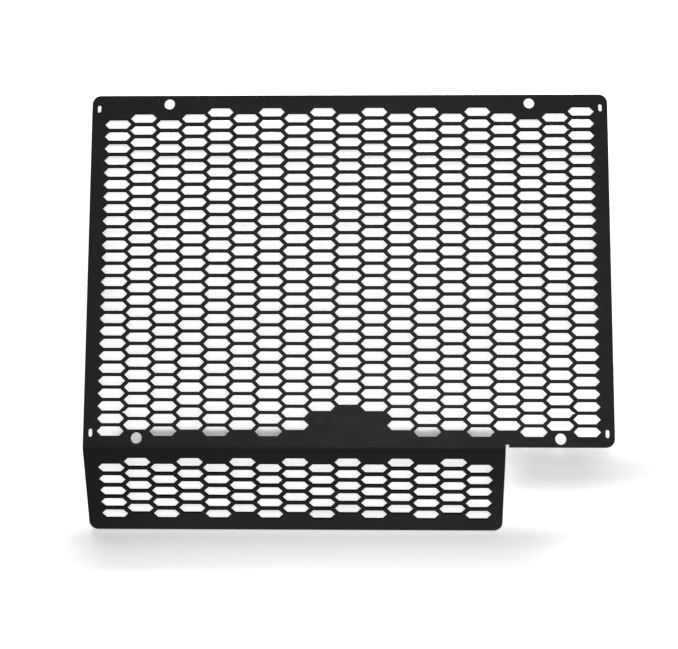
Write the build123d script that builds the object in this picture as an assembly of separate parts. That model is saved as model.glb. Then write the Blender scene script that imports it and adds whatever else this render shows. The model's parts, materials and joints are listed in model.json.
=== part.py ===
from build123d import *
import os
from math import atan2, cos, degrees, floor, radians, sin, tan

# A radiator guard for a motorcycle: one sheet of metal, laser cut with a grille of long
# hexagons and folded once, so that a flap turns back under the main panel.
# All sizes are in millimetres. Heights and lengths on the panel and the flap are measured
# on the middle plane of the sheet, from the sharp line where the two planes meet.

# Sheet and fold
sheet_thickness = 2.0
fold_angle = 30.0
fold_inner_radius = 6.5

# Outline of the main panel and of the flap below it, which begin at the same left edge
panel_width = 360.8
panel_height = 247.2
panel_corner_radius = 6.0
flap_width = 287.2
flap_length = 63.1
flap_corner_radius = 6.0

# Free lower edge beside the flap, and the relief slit that ends the fold
lower_edge_drop = 0.8
relief_width = 2.3
relief_clearance = 1.1

# Grille: staggered columns of hexagons with pointed ends; the flap has its own first row and pitch
column_pitch = 18.0
panel_row_pitch = 8.6
flap_row_pitch = 9.0
row_bar_width = 2.3
flank_bar_width = 2.6
point_angle = 90.0
fold_to_panel_row = 11.65
fold_to_flap_row = 10.4
edge_margin = 7.0

# Notches that lengthen the outward tips of four openings, near the corners of the panel
notch_width = 1.0
notch_depth = 0.6

# Plain patch in the middle of the panel, just above the fold
patch_width = 52.0
patch_height = 24.5

# Round fixing holes: an upper pair and a lower pair
fixing_hole_diameter = 7.6
upper_hole_spacing = 252.0
lower_hole_spacing = 288.0
hole_edge_web = 2.2
hole_relief_web = 0.1
hole_opening_web = 1.8

# Upright slots for cable ties, one near each corner of the panel
slot_width = 2.7
slot_length = 5.5
slot_side_distance = 4.9
slot_edge_distance = 9.3

# Sizes that follow from the fold
fold_middle_radius = fold_inner_radius + sheet_thickness / 2
fold_start = fold_middle_radius * tan(radians(fold_angle / 2))
lower_edge = fold_start - lower_edge_drop
relief_top = fold_start + relief_clearance

# Tilt of the panel as the guard lies like a low tent, on the flap's lower edge and the panel's upper edge
turn = radians(fold_angle)
rest_rise = flap_length * sin(turn) - sheet_thickness / 2 * (1 - cos(turn))
rest_run = panel_height + flap_length * cos(turn) - sheet_thickness / 2 * sin(turn)
rest_tilt = degrees(atan2(rest_rise, rest_run))

# Edges of the sheet across its width
panel_right = panel_width / 2
panel_left = -panel_right
flap_right = panel_left + flap_width
relief_right = flap_right + relief_width

# Places of the fixing holes and the slots
hole_radius = fixing_hole_diameter / 2
upper_hole_height = panel_height - hole_edge_web - hole_radius
lower_hole_height = relief_top + hole_relief_web + hole_radius
hole_places = [Vector(side * upper_hole_spacing / 2, upper_hole_height) for side in (-1, 1)]
hole_places += [Vector(side * lower_hole_spacing / 2, lower_hole_height) for side in (-1, 1)]
slot_heights = (panel_height - slot_edge_distance, lower_edge + slot_edge_distance)
slot_places = [
    Vector(side * (panel_right - slot_side_distance), height)
    for height in slot_heights
    for side in (-1, 1)
]


half_point = radians(point_angle / 2)


def opening_height(row_pitch):
    """Height of an opening that leaves bars of the given width between it and its column neighbours."""
    return row_pitch - row_bar_width


def opening_length(row_pitch):
    """Length of an opening that leaves slanting bars of the given width between neighbouring columns."""
    return column_pitch + row_pitch / 2 / tan(half_point) - flank_bar_width / sin(half_point)


def column_places(left, right, row_pitch):
    """Numbers of the columns, from the middle of the panel, that keep the margin from both edges."""
    reach = edge_margin + opening_length(row_pitch) / 2
    first = -floor((-left - reach) / column_pitch)
    last = floor((right - reach) / column_pitch)
    return range(first, last + 1)


def row_places(first_row, length, row_pitch):
    """Distances from the fold of the rows that keep the margin from the far edge."""
    room = length - edge_margin - opening_height(row_pitch) / 2 - first_row
    return [first_row + row * row_pitch for row in range(floor(room / row_pitch) + 1)]


def grille_places(left, right, length, fold_to_first_row, row_pitch, staggered):
    """Middles of the openings on one plane; every second column starts half a pitch further on."""
    places = []
    for column in column_places(left, right, row_pitch):
        first_row = fold_to_first_row
        if column % 2 == staggered:
            first_row += row_pitch / 2
        distances = row_places(first_row, length, row_pitch)
        places += [Vector(column * column_pitch, distance) for distance in distances]
    return places


def gap_to_opening(place, point):
    """Distance from a point to the nearer flat or flank of an opening in the panel."""
    across = abs(point.X - place.X) - opening_length(panel_row_pitch) / 2
    along = abs(point.Y - place.Y)
    to_flat = along - opening_height(panel_row_pitch) / 2
    return max(to_flat, across * sin(half_point) + along * cos(half_point))


def meets_fixing_hole(place):
    """True where an opening would leave too thin a web beside a fixing hole."""
    return any(gap_to_opening(place, hole) < hole_radius + hole_opening_web for hole in hole_places)


def meets_patch(place):
    """True where an opening would reach into the plain patch."""
    beside = abs(place.X) - opening_length(panel_row_pitch) / 2 < patch_width / 2
    return beside and place.Y - opening_height(panel_row_pitch) / 2 < patch_height


def notched_places(places):
    """Middles of the notched openings: the second from each end of the second column from either side."""
    columns = column_places(panel_left, panel_right, panel_row_pitch)
    picked = []
    for column in (columns[1], columns[-2]):
        heights = sorted(place.Y for place in places if place.X == column * column_pitch)
        picked += [Vector(column * column_pitch, height) for height in (heights[1], heights[-2])]
    return picked


def opening(place, row_pitch, notched=False):
    """Outline of one hexagonal opening, with or without a notch in the tip towards the nearer side."""
    tip = opening_length(row_pitch) / 2
    flat = opening_height(row_pitch) / 2
    corner = tip - flat / tan(half_point)
    corners = [(corner, flat), (-corner, flat), (-tip, 0), (-corner, -flat), (corner, -flat)]
    if notched:
        half_notch = notch_width / 2
        mouth = tip - half_notch / tan(half_point)
        end = tip + notch_depth
        corners += [(mouth, -half_notch), (end, -half_notch), (end, half_notch), (mouth, half_notch)]
    else:
        corners += [(tip, 0)]
    to_nearer_side = Rot(Z=180) if place.X < 0 else Rot()
    return Pos(place) * to_nearer_side * Wire.make_polygon(corners, close=True)


def round_hole(place):
    """Outline of one fixing hole."""
    return Pos(place) * Wire.make_circle(hole_radius)


def tie_slot(place):
    """Outline of one slot with round ends, standing upright."""
    return Pos(place) * SlotOverall(slot_length, slot_width, rotation=90).face().outer_wire()


def rounded(outline, corners, radius):
    """The outline with its corners at the given points rounded."""
    picked = [outline.vertices().sort_by_distance(corner)[0] for corner in corners]
    return outline.fillet_2d(radius, picked)


def plate(outline, cut_outs):
    """A flat plate of the sheet's thickness, centred on its middle plane."""
    back_face = Pos(Z=-sheet_thickness / 2) * Face(outline, cut_outs)
    return extrude(back_face, amount=sheet_thickness, dir=(0, 0, 1))


def main_panel():
    """The flat panel above the fold, with its grille, fixing holes and slots."""
    corners = [
        (panel_left, panel_height),
        (panel_left, fold_start),
        (flap_right, fold_start),
        (flap_right, relief_top),
        (relief_right, relief_top),
        (relief_right, lower_edge),
        (panel_right, lower_edge),
        (panel_right, panel_height),
    ]
    outline = Wire.make_polygon(corners, close=True)
    outline = rounded(outline, [corners[0], corners[-2], corners[-1]], panel_corner_radius)
    places = grille_places(
        panel_left, panel_right, panel_height, fold_to_panel_row, panel_row_pitch, staggered=0
    )
    places = [place for place in places if not meets_fixing_hole(place) and not meets_patch(place)]
    # The opening nearest the upper left corner is left out.
    upper_left = Vector(panel_left, panel_height)
    places.remove(min(places, key=lambda place: (place - upper_left).length))
    notches = notched_places(places)
    cut_outs = [opening(place, panel_row_pitch, notched=place in notches) for place in places]
    cut_outs += [round_hole(place) for place in hole_places]
    cut_outs += [tie_slot(place) for place in slot_places]
    return plate(outline, cut_outs)


def fold():
    """The rounded strip between the panel and the flap."""
    section = Rot(X=90) * Rectangle(flap_width, sheet_thickness)
    section = Pos((panel_left + flap_right) / 2, fold_start, 0) * section
    bend_axis = Axis((0, fold_start, -fold_middle_radius), (1, 0, 0))
    return revolve(section, bend_axis, fold_angle)


def flap():
    """The flat flap below the fold, turned back by the fold's angle."""
    corners = [
        (panel_left, -fold_start),
        (panel_left, -flap_length),
        (flap_right, -flap_length),
        (flap_right, -fold_start),
    ]
    outline = Wire.make_polygon(corners, close=True)
    outline = rounded(outline, corners[1:3], flap_corner_radius)
    places = grille_places(
        panel_left, flap_right, flap_length, fold_to_flap_row, flap_row_pitch, staggered=1
    )
    cut_outs = [opening(Vector(place.X, -place.Y), flap_row_pitch) for place in places]
    return Rot(X=fold_angle) * plate(outline, cut_outs)


# The folded sheet, laid down and moved so that the origin is under the middle of its box
folded = Rot(X=-rest_tilt) * (main_panel() + fold() + flap())
box = folded.bounding_box()
radiator_guard = Pos(-box.center().X, -box.center().Y, -box.min.Z) * folded

os.makedirs("parts", exist_ok=True)
export_step(radiator_guard, "parts/radiator_guard.step")
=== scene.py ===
import json
from math import atan2, cos, radians, sin, sqrt, tan

import bmesh
import bpy
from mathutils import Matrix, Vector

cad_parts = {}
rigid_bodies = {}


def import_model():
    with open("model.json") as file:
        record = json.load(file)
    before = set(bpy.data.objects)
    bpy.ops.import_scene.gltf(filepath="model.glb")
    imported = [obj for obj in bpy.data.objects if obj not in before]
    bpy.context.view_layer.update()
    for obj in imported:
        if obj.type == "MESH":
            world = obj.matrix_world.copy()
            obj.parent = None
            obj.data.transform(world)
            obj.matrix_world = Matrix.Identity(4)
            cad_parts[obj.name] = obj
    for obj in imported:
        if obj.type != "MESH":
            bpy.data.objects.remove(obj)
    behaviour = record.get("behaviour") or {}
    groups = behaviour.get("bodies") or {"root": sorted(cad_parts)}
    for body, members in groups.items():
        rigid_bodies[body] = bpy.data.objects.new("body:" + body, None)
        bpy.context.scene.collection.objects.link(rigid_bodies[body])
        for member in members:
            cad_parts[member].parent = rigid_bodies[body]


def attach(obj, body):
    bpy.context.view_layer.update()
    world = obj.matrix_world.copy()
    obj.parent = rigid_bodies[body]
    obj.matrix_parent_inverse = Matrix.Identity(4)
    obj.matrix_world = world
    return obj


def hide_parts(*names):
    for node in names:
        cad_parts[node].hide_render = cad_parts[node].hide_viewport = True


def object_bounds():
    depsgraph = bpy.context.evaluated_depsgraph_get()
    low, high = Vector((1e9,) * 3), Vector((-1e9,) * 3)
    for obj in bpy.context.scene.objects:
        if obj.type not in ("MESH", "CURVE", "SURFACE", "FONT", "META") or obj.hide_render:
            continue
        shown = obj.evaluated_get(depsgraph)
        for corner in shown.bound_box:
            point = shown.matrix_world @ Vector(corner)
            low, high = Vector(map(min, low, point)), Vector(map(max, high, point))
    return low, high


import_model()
cad_low, cad_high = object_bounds()

# One cell of the grille. The guard is one aluminium sheet, laser cut with long hexagons in staggered
# columns. A cell is an opening and the half bars round it, so that cells side by side make the grille.
# It is drawn flat, with the line where the sheet folds along the X axis.
mm = 0.001
column_pitch = 18.0 * mm
row_bar_width = 2.3 * mm
flank_bar_width = 2.6 * mm
flank_step = (flank_bar_width - row_bar_width) / sqrt(2)
merge_distance = 0.002 * mm
seed_size = 1.0 * mm


def new_flat_piece(name):
    """Starts an empty mesh object and opens it for editing."""
    bpy.ops.object.select_all(action="DESELECT")
    bpy.ops.mesh.primitive_plane_add(size=seed_size)
    piece = bpy.context.object
    piece.name = name
    bpy.ops.object.mode_set(mode="EDIT")
    bpy.ops.mesh.delete(type="VERT")
    return piece


def draw_outline(corners):
    """Draws a closed outline through the corners, one edge after another, and leaves it selected."""
    bpy.ops.mesh.select_all(action="DESELECT")
    bpy.ops.mesh.primitive_plane_add(size=seed_size, location=(*corners[0], 0))
    bpy.ops.mesh.merge(type="CENTER")
    for here, there in zip(corners, corners[1:] + corners[:1]):
        step = (there[0] - here[0], there[1] - here[1], 0)
        bpy.ops.mesh.extrude_region_move(TRANSFORM_OT_translate={"value": step})
    bpy.ops.mesh.select_linked()
    bpy.ops.mesh.remove_doubles(threshold=merge_distance)


def select_points(piece, wanted):
    """Selects the points that pass the test, with the edges and faces between them."""
    bpy.ops.mesh.select_mode(type="VERT")
    bpy.ops.mesh.select_all(action="DESELECT")
    shape = bmesh.from_edit_mesh(piece.data)
    for point in shape.verts:
        point.select_set(wanted(point.co))
    shape.select_flush(True)
    bmesh.update_edit_mesh(piece.data)


def grille_cell(name, row_pitch):
    """Makes one cell for rows of the given pitch; a six-sided face still closes its opening."""
    half_row = row_pitch / 2
    tip = (column_pitch + half_row) / 2
    corner = tip - half_row
    cell = new_flat_piece(name)
    draw_outline([
        (tip, 0),
        (corner, half_row),
        (-corner, half_row),
        (-tip, 0),
        (-corner, -half_row),
        (corner, -half_row),
    ])
    bpy.ops.mesh.edge_face_add()
    bpy.ops.mesh.inset(thickness=row_bar_width / 2)
    for side in (-1, 1):
        select_points(cell, lambda co: co.x * side > 0 and abs(co.x) + abs(co.y) < tip - flank_step)
        bpy.ops.transform.translate(value=(-side * flank_step, 0, 0))
    bpy.ops.object.mode_set(mode="OBJECT")
    return cell


# The main panel above the fold: the field of cells, then the plain border with its rounded corners,
# four round fixing holes and four upright slots for cable ties. Below its middle a plain patch has
# no openings. Where the flap ends, a short relief slit lets the sheet fold without tearing.
panel_row_pitch = 8.6 * mm
panel_half_row = panel_row_pitch / 2
panel_first_row = 11.65 * mm
fold_angle = radians(30)
fold_middle_radius = 7.5 * mm
fold_start = fold_middle_radius * tan(fold_angle / 2)
panel_side = 180.4 * mm
panel_height = 247.2 * mm
corner_radius = 6.0 * mm
corner_steps = 8
flap_right = 106.8 * mm
relief_width = 2.3 * mm
relief_clearance = 1.1 * mm
relief_right = flap_right + relief_width
relief_top = fold_start + relief_clearance
lower_edge_drop = 0.8 * mm
lower_edge = fold_start - lower_edge_drop
hole_radius = 3.8 * mm
hole_steps = 48
upper_hole_side = 126.0 * mm
lower_hole_side = 144.0 * mm
upper_hole_web = 2.2 * mm
lower_hole_web = 0.1 * mm
upper_hole = (upper_hole_side, panel_height - upper_hole_web - hole_radius)
lower_hole = (lower_hole_side, relief_top + lower_hole_web + hole_radius)
slot_half_width = 1.35 * mm
slot_half_length = 2.75 * mm
slot_steps = 6
slot_side_distance = 4.9 * mm
slot_edge_distance = 9.3 * mm
slot_side = panel_side - slot_side_distance
slot_heights = (panel_height - slot_edge_distance, lower_edge + slot_edge_distance)
opening_sides = 6
notch_half_width = 0.5 * mm
notch_depth = 0.6 * mm
cells_left_out = [(-9, 26), (-7, 26), (7, 26), (-1, 0), (0, 0), (1, 0), (-1, 1), (0, 1), (1, 1)]
cells_notched = [(-8, 1), (8, 1), (-8, 24), (8, 24)]


def cells_block(cell, first_column, columns, start, rows, row_step):
    """Copies the cell up its column, and the column to every second place beside it."""
    bpy.ops.object.select_all(action="DESELECT")
    cell.select_set(True)
    bpy.context.view_layer.objects.active = cell
    bpy.ops.object.duplicate()
    block = bpy.context.object
    block.location = (first_column * column_pitch, start, 0)
    bpy.ops.object.transform_apply()
    for count, step in ((rows, (0, row_step, 0)), (columns, (2 * column_pitch, 0, 0))):
        copies = block.modifiers.new("copies", "ARRAY")
        copies.count = count
        copies.use_relative_offset = False
        copies.use_constant_offset = True
        copies.constant_offset_displace = step
        bpy.ops.object.modifier_apply(modifier=copies.name)
    return block


def join_pieces(name, pieces):
    """Joins pieces into the first one and merges the points that meet."""
    bpy.ops.object.select_all(action="DESELECT")
    for piece in pieces:
        piece.select_set(True)
    bpy.context.view_layer.objects.active = pieces[0]
    bpy.ops.object.join()
    pieces[0].name = name
    bpy.ops.object.mode_set(mode="EDIT")
    bpy.ops.mesh.select_all(action="SELECT")
    bpy.ops.mesh.remove_doubles(threshold=merge_distance)
    return pieces[0]


def panel_cell_middle(column, row):
    """Middle of one of the panel's cells; the even columns start half a pitch further up."""
    start = panel_first_row + (panel_half_row if column % 2 == 0 else 0)
    return column * column_pitch, start + row * panel_row_pitch


def remove_panel_cell(column, row):
    """Takes one cell out of the panel's field."""
    middle_x, middle_y = panel_cell_middle(column, row)
    bpy.ops.mesh.select_mode(type="FACE")
    bpy.ops.mesh.select_all(action="DESELECT")
    field = bmesh.from_edit_mesh(panel.data)
    for face in field.faces:
        centre = face.calc_center_median()
        across, along = abs(centre.x - middle_x), abs(centre.y - middle_y)
        face.select_set(along < panel_half_row and across + along < (column_pitch + panel_half_row) / 2)
    bmesh.update_edit_mesh(panel.data)
    bpy.ops.mesh.delete(type="FACE")
    bpy.ops.mesh.select_mode(type="VERT")


def draw_notched_opening(column, row):
    """Draws an opening whose tip towards the nearer side ends in a small square notch."""
    x, y = panel_cell_middle(column, row)
    out = 1 if column > 0 else -1
    flat = (panel_row_pitch - row_bar_width) / 2
    tip = (column_pitch + panel_half_row) / 2 - flank_bar_width / sqrt(2)
    corner = tip - flat
    mouth = tip - notch_half_width
    end = tip + notch_depth
    draw_outline([
        (x + out * corner, y + flat),
        (x - out * corner, y + flat),
        (x - out * tip, y),
        (x - out * corner, y - flat),
        (x + out * corner, y - flat),
        (x + out * mouth, y - notch_half_width),
        (x + out * end, y - notch_half_width),
        (x + out * end, y + notch_half_width),
        (x + out * mouth, y + notch_half_width),
    ])


def round_corners(piece, corners, radius, steps):
    """Rounds the corners of an outline at the given points."""
    def is_corner(co):
        return any(abs(co.x - x) + abs(co.y - y) < merge_distance for x, y in corners)
    select_points(piece, is_corner)
    bpy.ops.mesh.bevel(affect="VERTICES", offset_type="ABSOLUTE", offset=radius, segments=steps)


def fill_border_and_open_cells():
    """Fills the sheet between the cells, the holes and the outline, and then opens the cells."""
    bpy.ops.mesh.select_mode(type="EDGE")
    bpy.ops.mesh.select_all(action="DESELECT")
    bpy.ops.mesh.select_non_manifold(
        extend=False, use_multi_face=False, use_non_contiguous=False, use_verts=False
    )
    bpy.ops.mesh.fill()
    bpy.ops.mesh.select_mode(type="FACE")
    bpy.ops.mesh.select_all(action="DESELECT")
    bpy.ops.mesh.select_face_by_sides(number=opening_sides, type="EQUAL")
    bpy.ops.mesh.delete(type="FACE")
    bpy.ops.mesh.select_mode(type="VERT")


panel_cell = grille_cell("panel_cell", panel_row_pitch)
panel = join_pieces("panel", [
    cells_block(
        panel_cell, first_column=-9, columns=10, start=panel_first_row, rows=27, row_step=panel_row_pitch
    ),
    cells_block(
        panel_cell, first_column=-8, columns=9, start=panel_first_row + panel_half_row, rows=26,
        row_step=panel_row_pitch
    ),
])
for column, row in cells_left_out + cells_notched:
    remove_panel_cell(column, row)
for column, row in cells_notched:
    draw_notched_opening(column, row)
panel_corners = [
    (-panel_side, panel_height),
    (-panel_side, fold_start),
    (flap_right, fold_start),
    (flap_right, relief_top),
    (relief_right, relief_top),
    (relief_right, lower_edge),
    (panel_side, lower_edge),
    (panel_side, panel_height),
]
draw_outline(panel_corners)
round_corners(panel, [panel_corners[0], panel_corners[-2], panel_corners[-1]], corner_radius, corner_steps)
for x, y in (upper_hole, lower_hole):
    for side in (-1, 1):
        bpy.ops.mesh.primitive_circle_add(vertices=hole_steps, radius=hole_radius, location=(side * x, y, 0))
for y in slot_heights:
    for x in (-slot_side, slot_side):
        slot_corners = [
            (x + right * slot_half_width, y + up * slot_half_length)
            for right, up in ((-1, -1), (1, -1), (1, 1), (-1, 1))
        ]
        draw_outline(slot_corners)
        round_corners(panel, slot_corners, slot_half_width, slot_steps)
        bpy.ops.mesh.select_linked()
        bpy.ops.mesh.remove_doubles(threshold=merge_distance)
fill_border_and_open_cells()
bpy.ops.object.mode_set(mode="OBJECT")
bpy.data.objects.remove(panel_cell)

# The flap below the fold: the same kind of grille with rows a little further apart, shorter and narrower
# than the panel, and turned back by the angle of the fold.
flap_row_pitch = 9.0 * mm
flap_half_row = flap_row_pitch / 2
flap_first_row = 10.4 * mm
flap_rows = 5
flap_length = 63.1 * mm
flap_cell = grille_cell("flap_cell", flap_row_pitch)
flap = join_pieces("flap", [
    cells_block(
        flap_cell, first_column=-8, columns=7, start=-flap_first_row, rows=flap_rows, row_step=-flap_row_pitch
    ),
    cells_block(
        flap_cell, first_column=-9, columns=8, start=-flap_first_row - flap_half_row, rows=flap_rows,
        row_step=-flap_row_pitch
    ),
])
flap_corners = [
    (-panel_side, -fold_start),
    (-panel_side, -flap_length),
    (flap_right, -flap_length),
    (flap_right, -fold_start),
]
draw_outline(flap_corners)
round_corners(flap, flap_corners[1:3], corner_radius, corner_steps)
fill_border_and_open_cells()
bpy.ops.object.mode_set(mode="OBJECT")
flap.rotation_euler.x = fold_angle
bpy.ops.object.transform_apply()
bpy.data.objects.remove(flap_cell)

# The folded sheet: the fold is bent between panel and flap, the sheet gets its thickness, and it is laid
# down like a low tent, on the flap's lower edge and the panel's upper edge. The powder coat rounds
# every cut edge a little.
sheet_thickness = 2.0 * mm
fold_steps = 10
edge_round = 0.2 * mm
edge_steps = 2
edge_limit = radians(30)
smooth_limit = radians(40)
sheet = join_pieces("sheet", [panel, flap])


def on_fold_line(co):
    """True for the points of the panel's lower edge where the fold begins."""
    return abs(co.y - fold_start) + abs(co.z) < merge_distance and co.x < flap_right + merge_distance


select_points(sheet, on_fold_line)
bpy.ops.mesh.spin(
    steps=fold_steps, angle=-fold_angle, center=(0, fold_start, -fold_middle_radius), axis=(1, 0, 0)
)
bpy.ops.mesh.select_all(action="SELECT")
bpy.ops.mesh.remove_doubles(threshold=merge_distance)
bpy.ops.mesh.normals_make_consistent(inside=False)
bpy.ops.object.mode_set(mode="OBJECT")
thickness = sheet.modifiers.new("thickness", "SOLIDIFY")
thickness.thickness = sheet_thickness
thickness.offset = 0
thickness.use_even_offset = True
bpy.ops.object.modifier_apply(modifier=thickness.name)
# The tilt brings the undersides of the flap's lower edge and the panel's upper edge to one level.
rise = flap_length * sin(fold_angle) - sheet_thickness / 2 * (1 - cos(fold_angle))
run = panel_height + flap_length * cos(fold_angle) - sheet_thickness / 2 * sin(fold_angle)
sheet.rotation_euler.x = -atan2(rise, run)
bpy.ops.object.transform_apply()
sheet_low = [min(point.co[axis] for point in sheet.data.vertices) for axis in range(3)]
sheet.location = [low - own_low for low, own_low in zip(cad_low, sheet_low)]
bpy.ops.object.transform_apply()
rounding = sheet.modifiers.new("rounding", "BEVEL")
rounding.width = edge_round
rounding.segments = edge_steps
rounding.limit_method = "ANGLE"
rounding.angle_limit = edge_limit
rounding.use_clamp_overlap = False
rounding.loop_slide = False
bpy.ops.object.modifier_apply(modifier=rounding.name)
bpy.ops.object.shade_smooth_by_angle(angle=smooth_limit)
weighted = sheet.modifiers.new("weighted", "WEIGHTED_NORMAL")
weighted.keep_sharp = True
bpy.ops.object.modifier_apply(modifier=weighted.name)

# The coat on the sheet's faces: satin black powder, baked on, with a fine pebbled skin and a sheen that
# drifts a little from place to place.
coat_mirror_share = 0.09
coat_roughness = (0.36, 0.46)
coat_blacks = ((0.35, (0.0046, 0.0046, 0.0049, 1)), (0.65, (0.0062, 0.0062, 0.0065, 1)))
pebble_scale = 1800
pebble_detail = 2
pebble_strength = 0.7
pebble_height = 0.06 * mm
drift_scale = 55
drift_detail = 3
drift_range = (0.3, 0.7)


def set_tones(ramp, tones):
    """Sets the places and colours of the two ends of a colour ramp."""
    for end, (position, colour) in zip(ramp.color_ramp.elements, tones):
        end.position = position
        end.color = colour


coat = bpy.data.materials.new("satin_black_powder_coat")
coat.use_nodes = True
coat_nodes = coat.node_tree.nodes
coat_links = coat.node_tree.links
coat_shader = coat_nodes["Principled BSDF"]
coat_shader.inputs["Specular IOR Level"].default_value = coat_mirror_share
coat_place = coat_nodes.new("ShaderNodeTexCoord")
pebbles = coat_nodes.new("ShaderNodeTexNoise")
pebbles.inputs["Scale"].default_value = pebble_scale
pebbles.inputs["Detail"].default_value = pebble_detail
drift = coat_nodes.new("ShaderNodeTexNoise")
drift.inputs["Scale"].default_value = drift_scale
drift.inputs["Detail"].default_value = drift_detail
sheen = coat_nodes.new("ShaderNodeMapRange")
sheen.inputs["From Min"].default_value, sheen.inputs["From Max"].default_value = drift_range
sheen.inputs["To Min"].default_value, sheen.inputs["To Max"].default_value = coat_roughness
pebble_blacks = coat_nodes.new("ShaderNodeValToRGB")
set_tones(pebble_blacks, coat_blacks)
skin = coat_nodes.new("ShaderNodeBump")
skin.inputs["Strength"].default_value = pebble_strength
skin.inputs["Distance"].default_value = pebble_height
coat_links.new(coat_place.outputs["Object"], pebbles.inputs["Vector"])
coat_links.new(coat_place.outputs["Object"], drift.inputs["Vector"])
coat_links.new(drift.outputs["Fac"], sheen.inputs["Value"])
coat_links.new(sheen.outputs["Result"], coat_shader.inputs["Roughness"])
coat_links.new(pebbles.outputs["Fac"], pebble_blacks.inputs["Fac"])
coat_links.new(pebble_blacks.outputs["Color"], coat_shader.inputs["Base Color"])
coat_links.new(pebbles.outputs["Fac"], skin.inputs["Height"])
coat_links.new(skin.outputs["Normal"], coat_shader.inputs["Normal"])
sheet.data.materials.clear()
sheet.data.materials.append(coat)

# The coat on the cut walls: the same powder, thinner and dull, over the fine upright grooves that the
# laser leaves.
wall_mirror_share = 0.0
wall_roughness = (0.7, 0.9)
wall_blacks = ((0.35, (0.0045, 0.0045, 0.0048, 1)), (0.65, (0.0075, 0.0075, 0.0078, 1)))
groove_scale = 4000
groove_detail = 2
groove_stretch = (1, 1, 0.12)
groove_strength = 0.6
groove_depth = 0.05 * mm
wall_steepness = 0.6
wall_coat = bpy.data.materials.new("dull_black_cut_wall")
wall_coat.use_nodes = True
wall_nodes = wall_coat.node_tree.nodes
wall_links = wall_coat.node_tree.links
wall_shader = wall_nodes["Principled BSDF"]
wall_shader.inputs["Specular IOR Level"].default_value = wall_mirror_share
wall_place = wall_nodes.new("ShaderNodeTexCoord")
wall_stretch = wall_nodes.new("ShaderNodeMapping")
wall_stretch.inputs["Scale"].default_value = groove_stretch
grooves = wall_nodes.new("ShaderNodeTexNoise")
grooves.inputs["Scale"].default_value = groove_scale
grooves.inputs["Detail"].default_value = groove_detail
groove_blacks = wall_nodes.new("ShaderNodeValToRGB")
set_tones(groove_blacks, wall_blacks)
wall_sheen = wall_nodes.new("ShaderNodeMapRange")
wall_sheen.inputs["To Min"].default_value, wall_sheen.inputs["To Max"].default_value = wall_roughness
wall_skin = wall_nodes.new("ShaderNodeBump")
wall_skin.inputs["Strength"].default_value = groove_strength
wall_skin.inputs["Distance"].default_value = groove_depth
wall_links.new(wall_place.outputs["Object"], wall_stretch.inputs["Vector"])
wall_links.new(wall_stretch.outputs["Vector"], grooves.inputs["Vector"])
wall_links.new(grooves.outputs["Fac"], groove_blacks.inputs["Fac"])
wall_links.new(groove_blacks.outputs["Color"], wall_shader.inputs["Base Color"])
wall_links.new(grooves.outputs["Fac"], wall_sheen.inputs["Value"])
wall_links.new(wall_sheen.outputs["Result"], wall_shader.inputs["Roughness"])
wall_links.new(grooves.outputs["Fac"], wall_skin.inputs["Height"])
wall_links.new(wall_skin.outputs["Normal"], wall_shader.inputs["Normal"])
sheet.data.materials.append(wall_coat)
bpy.ops.object.mode_set(mode="EDIT")
bpy.ops.mesh.select_mode(type="FACE")
bpy.ops.mesh.select_all(action="DESELECT")
walls = bmesh.from_edit_mesh(sheet.data)
for face in walls.faces:
    face.select_set(abs(face.normal.z) < wall_steepness)
bmesh.update_edit_mesh(sheet.data)
sheet.active_material_index = sheet.data.materials.find(wall_coat.name)
bpy.ops.object.material_slot_assign()
bpy.ops.object.mode_set(mode="OBJECT")
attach(sheet, "root")
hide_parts("radiator_guard")

# The pale floor that the guard lies on. To the eye, and in reflections, it glows, so that it is white in the
# open. The glow is painted light: under the grille it washes out the guard's shade. It is turned down in
# three boxes laid on the guard's soft shadow, before the flap, beside it and under the fold: painted shade
# that lets the real shadow show there.
floor_size = 2.4
floor_colour = (0.92, 0.92, 0.92, 1)
floor_roughness = 0.9
floor_mirror_share = 0.1
white = (1, 1, 1, 1)
glow_levels = (0.58, 1.0)
glow_rise = (260.0 * mm, 1.0)
dim_share = 0.08
# Each dim place is a box of painted shade over the guard's shadow: its middle, half its size and the width of
# its soft rim.
dim_places = (
    ((-28.0 * mm, -168.5 * mm, 0), (136.0 * mm, 7.5 * mm, 1.0 * mm), (105.0 * mm, 24.0 * mm, 1.0 * mm)),
    ((178.5 * mm, -110.2 * mm, 0), (46.5 * mm, 2.3 * mm, 1.0 * mm), (42.0 * mm, 24.6 * mm, 1.0 * mm)),
    ((-25.0 * mm, -88.0 * mm, 0), (105.0 * mm, 3.0 * mm, 1.0 * mm), (50.0 * mm, 5.0 * mm, 1.0 * mm)),
)


def seen_or_mirrored(nodes, links):
    """Is one for rays to the eye, in a mirror or through glass, and zero for rays that only carry light."""
    ray = nodes.new("ShaderNodeLightPath")
    seen = ray.outputs["Is Camera Ray"]
    for way in ("Is Glossy Ray", "Is Transmission Ray"):
        either = nodes.new("ShaderNodeMath")
        either.operation = "MAXIMUM"
        links.new(seen, either.inputs[0])
        links.new(ray.outputs[way], either.inputs[1])
        seen = either.outputs[0]
    return seen


def floor_step(operation, source, second=(0, 0, 0)):
    """Adds one vector step to the floor's finish, from a source and a fixed second value."""
    step = floor_nodes.new("ShaderNodeVectorMath")
    step.operation = operation
    step.inputs[1].default_value = second
    floor_links.new(source, step.inputs[0])
    return step


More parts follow.
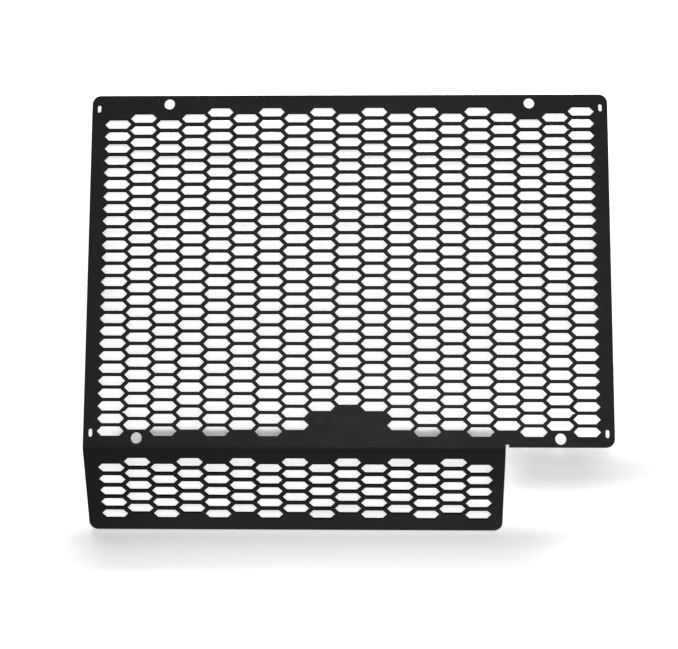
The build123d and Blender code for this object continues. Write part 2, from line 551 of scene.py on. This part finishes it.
bpy.ops.object.select_all(action="DESELECT")
bpy.ops.mesh.primitive_plane_add(size=floor_size)
floor = bpy.context.object
floor.name = "floor"
floor_finish = bpy.data.materials.new("pale_floor")
floor_finish.use_nodes = True
floor_nodes = floor_finish.node_tree.nodes
floor_links = floor_finish.node_tree.links
floor_shader = floor_nodes["Principled BSDF"]
floor_shader.inputs["Base Color"].default_value = floor_colour
floor_shader.inputs["Roughness"].default_value = floor_roughness
floor_shader.inputs["Specular IOR Level"].default_value = floor_mirror_share
floor_shader.inputs["Emission Color"].default_value = white
floor_place = floor_nodes.new("ShaderNodeTexCoord")
from_origin = floor_step("LENGTH", floor_place.outputs["Object"])
floor_level = floor_nodes.new("ShaderNodeMapRange")
floor_level.inputs["From Min"].default_value, floor_level.inputs["From Max"].default_value = glow_rise
floor_level.inputs["To Min"].default_value, floor_level.inputs["To Max"].default_value = glow_levels
floor_links.new(from_origin.outputs["Value"], floor_level.inputs["Value"])
level = floor_level.outputs["Result"]
# Each box turns the painted glow down over the guard's shadow: painted shade.
for middle, half_size, rim in dim_places:
    from_middle = floor_step("SUBTRACT", floor_place.outputs["Object"], middle)
    either_side = floor_step("ABSOLUTE", from_middle.outputs["Vector"])
    from_side = floor_step("SUBTRACT", either_side.outputs["Vector"], half_size)
    outside = floor_step("MAXIMUM", from_side.outputs["Vector"])
    across_rim = floor_step("DIVIDE", outside.outputs["Vector"], rim)
    distance = floor_step("LENGTH", across_rim.outputs["Vector"])
    share = floor_nodes.new("ShaderNodeMapRange")
    share.interpolation_type = "SMOOTHSTEP"
    share.inputs["To Min"].default_value = dim_share
    dimmed = floor_nodes.new("ShaderNodeMath")
    dimmed.operation = "MULTIPLY"
    floor_links.new(distance.outputs["Value"], share.inputs["Value"])
    floor_links.new(share.outputs["Result"], dimmed.inputs[0])
    floor_links.new(level, dimmed.inputs[1])
    level = dimmed.outputs[0]
glow = floor_nodes.new("ShaderNodeMath")
glow.operation = "MULTIPLY"
floor_links.new(seen_or_mirrored(floor_nodes, floor_links), glow.inputs[0])
floor_links.new(level, glow.inputs[1])
floor_links.new(glow.outputs[0], floor_shader.inputs["Emission Strength"])
floor.data.materials.append(floor_finish)

# Soft studio light: a room that is white to the eye and in reflections but gives little light, a long soft
# box overhead that gives the satin coat its sheen, a wide one low beyond the panel's upper edge that throws
# the shadow forward, and a small one low in front of the flap.
room_levels = (0.12, 1.0)
# Each soft box: its name, place, tilt about X, width and length, power, and whether the coat mirrors it.
soft_boxes = (
    ("overhead_soft_box", (0.06, 0.18, 1.4), radians(0), (0.5, 0.95), 8.4, True),
    ("back_soft_box", (0.05, 1.6, 0.61), radians(-69), (1.6, 0.3), 50.0, False),
    ("front_soft_box", (0.11, -0.32, 0.1), radians(66), (0.6, 0.04), 0.31, True),
)
world = bpy.data.worlds.new("pale_room")
bpy.context.scene.world = world
world.use_nodes = True
room_nodes = world.node_tree.nodes
room_links = world.node_tree.links
room = room_nodes["Background"]
room.inputs["Color"].default_value = white
room_level = room_nodes.new("ShaderNodeMapRange")
room_level.inputs["To Min"].default_value, room_level.inputs["To Max"].default_value = room_levels
room_links.new(seen_or_mirrored(room_nodes, room_links), room_level.inputs["Value"])
room_links.new(room_level.outputs["Result"], room.inputs["Strength"])
for name, box_place, tilt, size, power, mirrored in soft_boxes:
    bpy.ops.object.light_add(type="AREA", location=box_place, rotation=(tilt, 0, 0))
    soft_box = bpy.context.object
    soft_box.name = name
    soft_box.data.shape = "RECTANGLE"
    soft_box.data.size, soft_box.data.size_y = size
    soft_box.data.energy = power
    soft_box.visible_camera = False
    soft_box.visible_glossy = mirrored

# The camera looks down at the guard from above, as the photograph does, and stands a little to its
# right and in front of its middle.
camera_place = (13.688 * mm, -32.941 * mm, 911.348 * mm)
camera_turn = (radians(1.5112), radians(1.2766), radians(0.0823))
sensor_width_mm = 36
lens_mm = 69.173
bpy.ops.object.camera_add(location=camera_place, rotation=camera_turn)
camera = bpy.context.object
camera.data.sensor_width = sensor_width_mm
camera.data.lens = lens_mm
bpy.context.scene.camera = camera
bpy.context.scene.view_settings.view_transform = "Standard"
